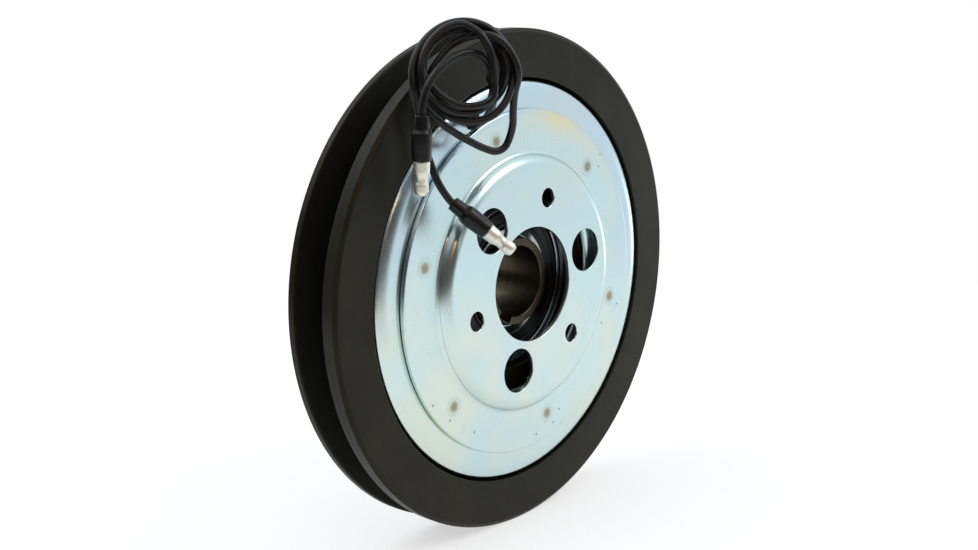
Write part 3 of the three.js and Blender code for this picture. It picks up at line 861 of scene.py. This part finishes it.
# Each lead's sleeve and bullet: start, a point they aim at, and where the seam faces.
ENDS = {
    "a": ((-60.97, -5.53, 64.2), (-60.47, -4.53, 49.2), (0.75, 0.62, 0)),
    "b": ((-46.2, -4.2, 34.9), (-36.8, -13.3, 24.0), (0.9, 0.4, 0.2)),
}
for tag, end in ENDS.items():
    sleeve = along_lead(sleeve_shape(), *end)
    bullet = along_lead(bullet_shape(), *end)
    detail("sleeve_" + tag, sleeve, "field", "sleeve_vinyl")
    detail("bullet_" + tag, bullet, "field", "bullet_tin", sharp=50)


# ---- field: plate, shell, winding
def mounting_plate():
    """Sheet pressed into a raised centre, with its bolt holes and access holes."""
    dome_foot, dome_top = 46.2, 44.3  # the dome's side, met by the two flats
    flat_end = 40.4
    bore, large_hole, small_hole = 20.4, 7.85, 3.4
    round_top, round_foot = 4.5, 1.8
    lean = Vector((dome_foot - dome_top, PLATE_REAR - SHEET)).normalized()
    inward = Vector((-lean.y, lean.x)) * SHEET
    behind_top = Vector((dome_top, 0)) + inward
    inner_top = behind_top + lean * ((SHEET - behind_top.y) / lean.y)
    inner_foot = behind_top + lean * ((PLATE_REAR - behind_top.y) / lean.y)
    path = as_path([
        (flat_end, 0), (dome_top, 0, round_top), (dome_foot, PLATE_REAR - SHEET, round_foot),
        (PLATE_RIM, PLATE_REAR - SHEET, 0.55), (PLATE_RIM, PLATE_REAR, 0.3),
        (inner_foot.x, PLATE_REAR, round_foot + SHEET), (inner_top.x, SHEET, round_top - SHEET),
        (flat_end, SHEET),
    ])
    holes = []
    for k in range(3):
        holes.append(circle(large_hole, 64, polar(BOLT_CIRCLE, 15 + 120 * k)))
        holes.append(circle(small_hole, 40, polar(BOLT_CIRCLE, 75 + 120 * k)))
    return plate(0, SHEET, path, circle(bore, 128), holes, soft=0.3)


def weld_marks():
    """The shallow dished rings that spot welding leaves on the plate."""
    whole = bmesh.new()
    y = PLATE_REAR - SHEET
    spot, ring = WELD_SPOT, WELD_RING
    rows = [(ring + 0.6, 0.02), (ring + 0.2, -0.008), (ring, -0.02), (ring - 0.25, -0.02),
            (ring - 0.5, -0.008), (spot - 0.1, -0.03), (spot - 0.5, -0.03), (spot - 1.0, -0.015),
            (0, -0.01)]
    outline = [(0, 0.3), (ring + 0.6, 0.3)] + rows
    for place in WELDS:
        mark = lathe(outline, SMALL)
        x, z = polar(*place)
        mesh = bpy.data.meshes.new("mark")
        bmesh.ops.translate(mark, vec=(x, y, z), verts=mark.verts)
        mark.to_mesh(mesh)
        mark.free()
        whole.from_mesh(mesh)
        bpy.data.meshes.remove(mesh)
    return whole


GROMMET_ANGLE = 113.4
GROMMET_RADIUS = 64.0


def grommet_outline(wide, narrow, height, rounding):
    """A trapezoid, narrow towards the shaft, at the leads' exit."""
    corners = [(-height, wide, rounding), (-height, -wide, rounding), (height, -narrow, rounding),
               (height, narrow, rounding)]
    turn = math.radians(GROMMET_ANGLE)
    radial = Vector((math.cos(turn), math.sin(turn)))
    across = Vector((-radial.y, radial.x))
    points = [radial * (GROMMET_RADIUS - p.x) + across * p.y for p in rounded(corners)]
    area = sum(a.cross(b) for a, b in zip(points, points[1:] + points[:1]))
    return points if area > 0 else points[::-1]


def coil_shell():
    """A deep ring channel, open towards the rotor, with a crowned shoulder round its back."""
    sheet, inner, outer = SHELL_SHEET, SHELL_BORE, SHELL_RADIUS
    crown, corner, lean = 10.0, 1.6, 25
    crown_centre = Vector((outer - corner - (crown - corner) * math.sin(math.radians(lean)),
                           SHELL_BACK + crown))
    corner_centre = Vector((outer - corner, SHELL_BACK + crown
                            - (crown - corner) * math.cos(math.radians(lean))))
    shoulder = arc_points(crown, -90, lean - 90, 8, crown_centre)
    shoulder += arc_points(corner, lean - 90, 0, 9, corner_centre)[1:]
    shell = turned([
        (inner, SHELL_MOUTH, 0.3), (inner, SHELL_BACK, 3.5), *shoulder,
        (outer, SHELL_MOUTH, 0.3), (outer - sheet, SHELL_MOUTH, 0.3),
        (outer - sheet, SHELL_BACK + sheet, 1.5), (inner + sheet, SHELL_BACK + sheet, 0.6),
        (inner + sheet, SHELL_MOUTH, 0.3),
    ], step=9)
    window = plate(SHELL_BACK - 2, SHELL_BACK + 6, grommet_outline(2.8, 2.1, 1.6, 0.5), soft=0.1)
    return combined(shell, window)


def winding_shape(inner, outer, front, rear, turns):
    """A wound pack: each turn of wire stands out a little on both round faces."""
    wire = (rear - front) / turns
    steps, depth = 6, 0.35
    outline = []
    for side, base in ((1, outer), (-1, inner)):
        foot = base - side * wire * depth
        rows = []
        for turn in range(turns):
            for k in range(steps):
                swell = math.sin(math.pi * k / steps) * wire * depth
                rows.append((foot + side * swell, front + wire * (turn + k / steps)))
        rows.append((foot, rear))
        outline += rows if side > 0 else rows[::-1]
    return lathe(outline, MEDIUM)


detail("mounting_plate", mounting_plate(), "field", "zinc_plate", finish="zinc_plate_welded")
piece("weld_marks", weld_marks(), "field", "zinc_plate", finish="zinc_plate_welded", sharp=60)
detail("coil_shell", coil_shell(), "field", "zinc_plate")

bobbin_rim, bobbin_front, bobbin_rear = span("coil_bobbin")
room_inner = SHELL_BORE + SHELL_SHEET + GAP
bobbin = turned([
    (room_inner, bobbin_front, 0.2), (bobbin_rim, bobbin_front, 0.4),
    (bobbin_rim, bobbin_front + 1, 0.4), (room_inner + 1.2, bobbin_front + 1, 0.3),
    (room_inner + 1.2, bobbin_rear - 1, 0.3), (bobbin_rim, bobbin_rear - 1, 0.4),
    (bobbin_rim, bobbin_rear, 0.4), (room_inner, bobbin_rear, 0.2),
], MEDIUM)
detail("coil_bobbin", bobbin, "field", "bobbin_nylon")
wound = winding_shape(room_inner + 1.5, bobbin_rim - 1, bobbin_front + 1.3, bobbin_rear - 1.3, 11)
detail("coil_winding", wound, "field", "winding_copper", sharp=80)
potting = turned_ring(room_inner, SHELL_RADIUS - SHELL_SHEET - GAP, bobbin_rear + GAP,
                      SHELL_MOUTH - 0.1, 0.25)
detail("coil_potting", potting, "field", "potting_resin")

grommet = combined(
    plate(4.6, SHELL_BACK - 0.05, grommet_outline(3.5, 2.4, 2.1, 1.2), soft=0.3),
    plate(5.1, SHELL_BACK + SHELL_SHEET - 0.3, grommet_outline(2.5, 1.8, 1.3, 0.8), soft=0.12),
    "UNION")
detail("lead_grommet", grommet, "field", "grommet_rubber")


# ---- pulley, rotor and bearing
def pulley_rim():
    """A turned rim with one V groove for the belt."""
    face, rear, radius, inner = PULLEY_FACE, PULLEY_REAR, PULLEY_RADIUS, 72.2
    start, width, depth = GROOVE_START, GROOVE_WIDTH, GROOVE_DEPTH
    half_angle = 18
    flank = depth * math.tan(math.radians(half_angle))
    return turned([
        (inner, face, 0.5), (radius - 1.4, face, 0.3), (radius, face + 0.9, 0.3),
        (radius, start, 0.35), (radius - depth, start + flank, 0.9),
        (radius - depth, start + width - flank, 0.9), (radius, start + width, 0.35),
        (radius, rear - 0.9, 0.3), (radius - 1.4, rear, 0.3), (inner, rear, 0.5),
    ])


def rotor():
    """The bearing housing and inner pole in one, with a slotted friction face at the rear."""
    bore, pole, stop = BEARING_WALL + GAP, 38.2, 28.6
    web = ROTOR_REAR - 4
    shelf = BEARING_REAR + GAP
    ring_groove, groove_front, groove_rear = 32.7, 9.2, 10.8
    outer = as_path([(ROTOR_RIM - 1.5, web), (ROTOR_RIM, web, 0.4), (ROTOR_RIM, ROTOR_REAR, 0.4),
                     (ROTOR_RIM - 1.5, ROTOR_REAR)])
    inner = as_path([
        (pole + 1.8, web), (pole, web, 0.8), (pole, ROTOR_MOUTH, 1.0), (bore, ROTOR_MOUTH, 0.8),
        (bore, groove_front, 0.15), (ring_groove, groove_front, 0.1),
        (ring_groove, groove_rear, 0.1), (bore, groove_rear, 0.15),
        (bore, shelf, 0.2), (stop, shelf, 0.2), (stop, ROTOR_REAR, 0.4), (stop + 1.5, ROTOR_REAR),
    ])
    holes = [arc_slot(46.5, SLOT_WIDTH, 45 + 90 * k, 66) for k in range(4)]
    holes += [arc_slot(61.5, SLOT_WIDTH, 90 * k, 66) for k in range(4)]
    return plate(web, ROTOR_REAR, outer, inner, holes, soft=0.3)


def rotor_weld():
    """The bead that joins the rotor to the pulley, slightly uneven all the way round."""
    def waver(angle, radius, y):
        return radius + 0.07 * math.sin(23 * angle) + 0.05 * math.sin(41 * angle)

    bead = arc_points(0.6, 0, 360, 16, (ROTOR_RIM + 0.15, ROTOR_REAR - 0.25))[:-1]
    return lathe(bead, FINE, waver)


def race(wall, land, soft):
    """A bearing ring with its ball groove; the wall is the outer or inner fitted face."""
    groove, steps = 5.2, 14
    side = 1 if land > BALL_CIRCLE else -1
    reach = math.degrees(math.acos(abs(land - BALL_CIRCLE) / groove))
    path = [(wall, BEARING_FRONT, soft), (wall, BEARING_REAR, soft), (land, BEARING_REAR, 0.3)]
    for k in range(steps + 1):
        angle = math.radians(-reach + 2 * reach * k / steps)
        path.append((BALL_CIRCLE + side * groove * math.cos(angle),
                     BEARING_MIDDLE - groove * math.sin(angle)))
    return turned([*path, (land, BEARING_FRONT, 0.3)], MEDIUM)


def seal(front, rear):
    """A bearing shield: a stiff outer step, a dished middle and a thin lip on the inner ring."""
    out = front if front < BEARING_MIDDLE else rear
    back = rear if front < BEARING_MIDDLE else front
    way = 1 if back > out else -1
    return turned([
        (26.5, out + way * 0.25, 0.12), (25.6, out, 0.15), (24.8, out, 0.15),
        (24.3, out + way * 0.3, 0.2), (21.6, out + way * 0.3, 0.2), (20.9, out, 0.2),
        (20.1, out + way * 0.05, 0.15), (19.6, out + way * 0.35, 0.08), (19.6, back, 0.08),
        (26.5, back, 0.1),
    ], MEDIUM)


def snap_ring():
    """A retaining ring, open at the bottom, with a plier hole near each end."""
    front, rear = span("bearing_snap_ring")[1:]
    inner, outer, opening = 28.2, 32.4, 22
    start, end = -90 + opening, 270 - opening
    outline = arc_points(outer, start, end, 120) + arc_points(inner, end, start, 120)
    holes = [circle(1.0, 20, polar(30.2, angle)) for angle in (start + 4, end - 4)]
    return plate(front, rear, outline, holes=holes, soft=0.15)


def ball_place(index):
    x, z = polar(BALL_CIRCLE, 360 * index / BALLS)
    return Vector((x, BEARING_MIDDLE, z))


def ball(index):
    """One bearing ball in its place."""
    shape = bmesh.new()
    bmesh.ops.create_icosphere(shape, subdivisions=4, radius=BALL_RADIUS)
    bmesh.ops.translate(shape, vec=ball_place(index), verts=shape.verts)
    return shape


def cage():
    """A moulded ring with a round pocket for each ball."""
    half = 5.8
    body = turned_ring(21.9, 24.1, BEARING_MIDDLE - half, BEARING_MIDDLE + half, 0.3, MEDIUM)
    pockets = bmesh.new()
    for k in range(BALLS):
        place = Matrix.Translation(ball_place(k))
        bmesh.ops.create_icosphere(pockets, subdivisions=4, radius=POCKET_RADIUS, matrix=place)
    return combined(body, pockets)


detail("pulley_rim", pulley_rim(), "pulley", "black_steel")
detail("rotor", rotor(), "pulley", "black_steel")
piece("rotor_weld", rotor_weld(), "pulley", "black_steel")
detail("bearing_outer_race", race(BEARING_WALL, 26.8, 0.8), "pulley", "bearing_steel")
for name in ("bearing_front_seal", "bearing_rear_seal"):
    detail(name, seal(*span(name)[1:]), "pulley", "seal_rubber")
detail("bearing_snap_ring", snap_ring(), "pulley", "spring_steel")
detail("bearing_cage", cage(), "cage", "cage_nylon")
for k in range(BALLS):
    detail("ball_%d" % (k + 1), ball(k), "cage", "bearing_steel")


# ---- hub, springs and armature
def between_sides(first, second, opposite):
    """Degrees between two sides of a triangle."""
    return math.degrees(math.acos((first**2 + second**2 - opposite**2) / (2 * first * second)))


def flange_outline():
    """The hub's rear flange: a disc with a blended lobe at each rivet."""
    disc, lobe, blend = 22.0, 6.5, 3.0
    points = []
    for angle in LOBE_ANGLES:
        # A blend arc touches both the disc and the lobe from outside.
        far, near = disc + blend, lobe + blend
        swing = between_sides(far, HUB_RIVET_RADIUS, near)
        lobe_turn = between_sides(near, HUB_RIVET_RADIUS, far)
        centre = polar(HUB_RIVET_RADIUS, angle)
        before = polar(far, angle - swing)
        after = polar(far, angle + swing)
        points += arc_points(blend, angle - swing + 180, angle + lobe_turn, 8, before)
        points += arc_points(lobe, angle - 180 + lobe_turn, angle + 180 - lobe_turn, 24, centre)[1:-1]
        points += arc_points(blend, angle - lobe_turn, angle + swing - 180, 8, after)
        points += arc_points(disc, angle + swing, angle + 120 - swing, 12)[1:-1]
    return points


def shaft_hub():
    """The keyed sleeve that the shaft drives, with its shoulder and lobed rear flange."""
    bore, sleeve, shoulder, flange_thickness = SHAFT_BORE, HUB_SLEEVE, 18.7, 3
    step, inside_flange = SHIM_REAR + GAP, HUB_REAR - 1.5
    shaft = turned([
        (bore, HUB_FRONT, 0.5), (sleeve, HUB_FRONT, 0.35), (sleeve, step, 0.1),
        (shoulder, step, 0.4), (shoulder, inside_flange), (bore, inside_flange),
    ], MEDIUM)
    holes = [circle(RIVET_HOLE, 32, polar(HUB_RIVET_RADIUS, angle)) for angle in LOBE_ANGLES]
    # The flange's own bore is wider, so it joins inside the shaft's wall and leaves a lead-in.
    disc = plate(HUB_REAR - flange_thickness, HUB_REAR, flange_outline(), circle(bore + 0.7, 96),
                 holes, soft=0.35)
    reach = bore + KEYWAY_DEPTH
    turn = Matrix.Rotation(-math.radians(KEYWAY_ANGLE), 3, "Y")
    key = bmesh.new()
    bmesh.ops.create_cube(key, size=1)
    bmesh.ops.scale(key, vec=(reach, 60, KEYWAY_WIDTH), verts=key.verts)
    bmesh.ops.translate(key, vec=(reach / 2, 23, 0), verts=key.verts)
    bmesh.ops.rotate(key, matrix=turn, verts=key.verts)
    return combined(combined(shaft, disc, "UNION"), key)


def leaf_spring(angle):
    """A flat strap between a hub rivet and an armature rivet."""
    start = Vector(polar(HUB_RIVET_RADIUS, angle))
    end = Vector(polar(ARMATURE_RIVET_RADIUS, angle + SPRING_LEAD))
    half, steps = 5.0, 24
    heading = math.degrees(math.atan2(end.y - start.y, end.x - start.x))
    outline = arc_points(half, heading + 90, heading + 270, 20, start)
    side = [outline[-1].lerp(outline[-1] + end - start, k / steps) for k in range(1, steps)]
    outline += side + arc_points(half, heading - 90, heading + 90, 20, end)
    outline += [outline[-1].lerp(outline[0], k / steps) for k in range(1, steps)]
    holes = [circle(RIVET_HOLE, 32, centre) for centre in (start, end)]
    return plate(SPRING_FRONT, SPRING_REAR, outline, holes=holes, soft=0.12)


def ellipse_rows(centre_y, radius, height, steps):
    """(radius, y) points of an elliptical dome, from its foot to the axis."""
    angles = [math.radians(90 * k / steps) for k in range(steps + 1)]
    return [(radius * math.cos(angle), centre_y + height * math.sin(angle)) for angle in angles]


def rivet(centre, foot, seat, tail):
    """A domed rivet; `tail` adds the upset head under the seat of a hub rivet."""
    shank, head_radius, height, rim = 1.8, 3.3, 1.4, 0.35
    tail_radius, tail_height = 2.9, 1.0
    head = ellipse_rows(seat + rim, head_radius, height - rim, 10)
    outline = [(0, foot), (shank, foot), (shank, seat)]
    if tail:
        dome = ellipse_rows(foot, tail_radius, -tail_height, 8)[::-1]
        outline = [(max(r, 0), y) for r, y in dome]
        outline += [(tail_radius, foot + 0.1), (shank, foot + 0.1), (shank, seat)]
        outline[0] = (0, outline[0][1])
    outline += [(head_radius - 0.15, seat), (head_radius, seat + 0.15)] + head[1:-1]
    outline.append((0, seat + height))
    shape = lathe(outline, SMALL)
    bmesh.ops.translate(shape, vec=(centre[0], 0, centre[1]), verts=shape.verts)
    return shape


def armature_plate():
    """A ground friction plate with four relief slots."""
    inner, bevel = 40.0, 0.6
    outer_path = as_path([
        (ARMATURE_RADIUS - 1.6, ARMATURE_FRONT), (ARMATURE_RADIUS, ARMATURE_FRONT, 0.3),
        (ARMATURE_RADIUS, ARMATURE_REAR - bevel, 0.15), (ARMATURE_RADIUS - bevel, ARMATURE_REAR, 0.15),
        (ARMATURE_RADIUS - 2.2, ARMATURE_REAR)])
    inner_path = as_path([
        (inner + 1.6, ARMATURE_FRONT), (inner, ARMATURE_FRONT, 0.3), (inner, ARMATURE_REAR, 0.4),
        (inner + 1.6, ARMATURE_REAR)])
    holes = [arc_slot(54, SLOT_WIDTH, 20 + 90 * k, 62) for k in range(4)]
    holes += [circle(RIVET_HOLE, 32, polar(ARMATURE_RIVET_RADIUS, angle + SPRING_LEAD))
              for angle in LOBE_ANGLES]
    return plate(ARMATURE_FRONT, ARMATURE_REAR, outer_path, inner_path, holes, soft=0.3)


detail("shaft_hub", shaft_hub(), "hub", "hub_steel")
detail("bearing_inner_race", race(BEARING_BORE, 19.2, 0.6), "hub", "bearing_steel")
shim = turned_ring(BEARING_BORE, SHIM_RADIUS, SHIM_FRONT, SHIM_REAR, 0.12, MEDIUM)
detail("air_gap_shim", shim, "hub", "bearing_steel")
detail("armature_plate", armature_plate(), "armature", "armature_steel")

for k, angle in enumerate(LOBE_ANGLES, 1):
    hub_centre = polar(HUB_RIVET_RADIUS, angle)
    plate_centre = polar(ARMATURE_RIVET_RADIUS, angle + SPRING_LEAD)
    strap = detail("leaf_spring_%d" % k, leaf_spring(angle), None, "spring_steel")
    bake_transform(strap)
    detail("hub_rivet_%d" % k, rivet(hub_centre, SPRING_FRONT - 0.4, HUB_REAR + 0.05, True),
           "hub", "rivet_steel")
    detail("armature_rivet_%d" % k,
           rivet(plate_centre, ARMATURE_FRONT + 0.5, SPRING_REAR + 0.02, False),
           "armature", "rivet_steel")
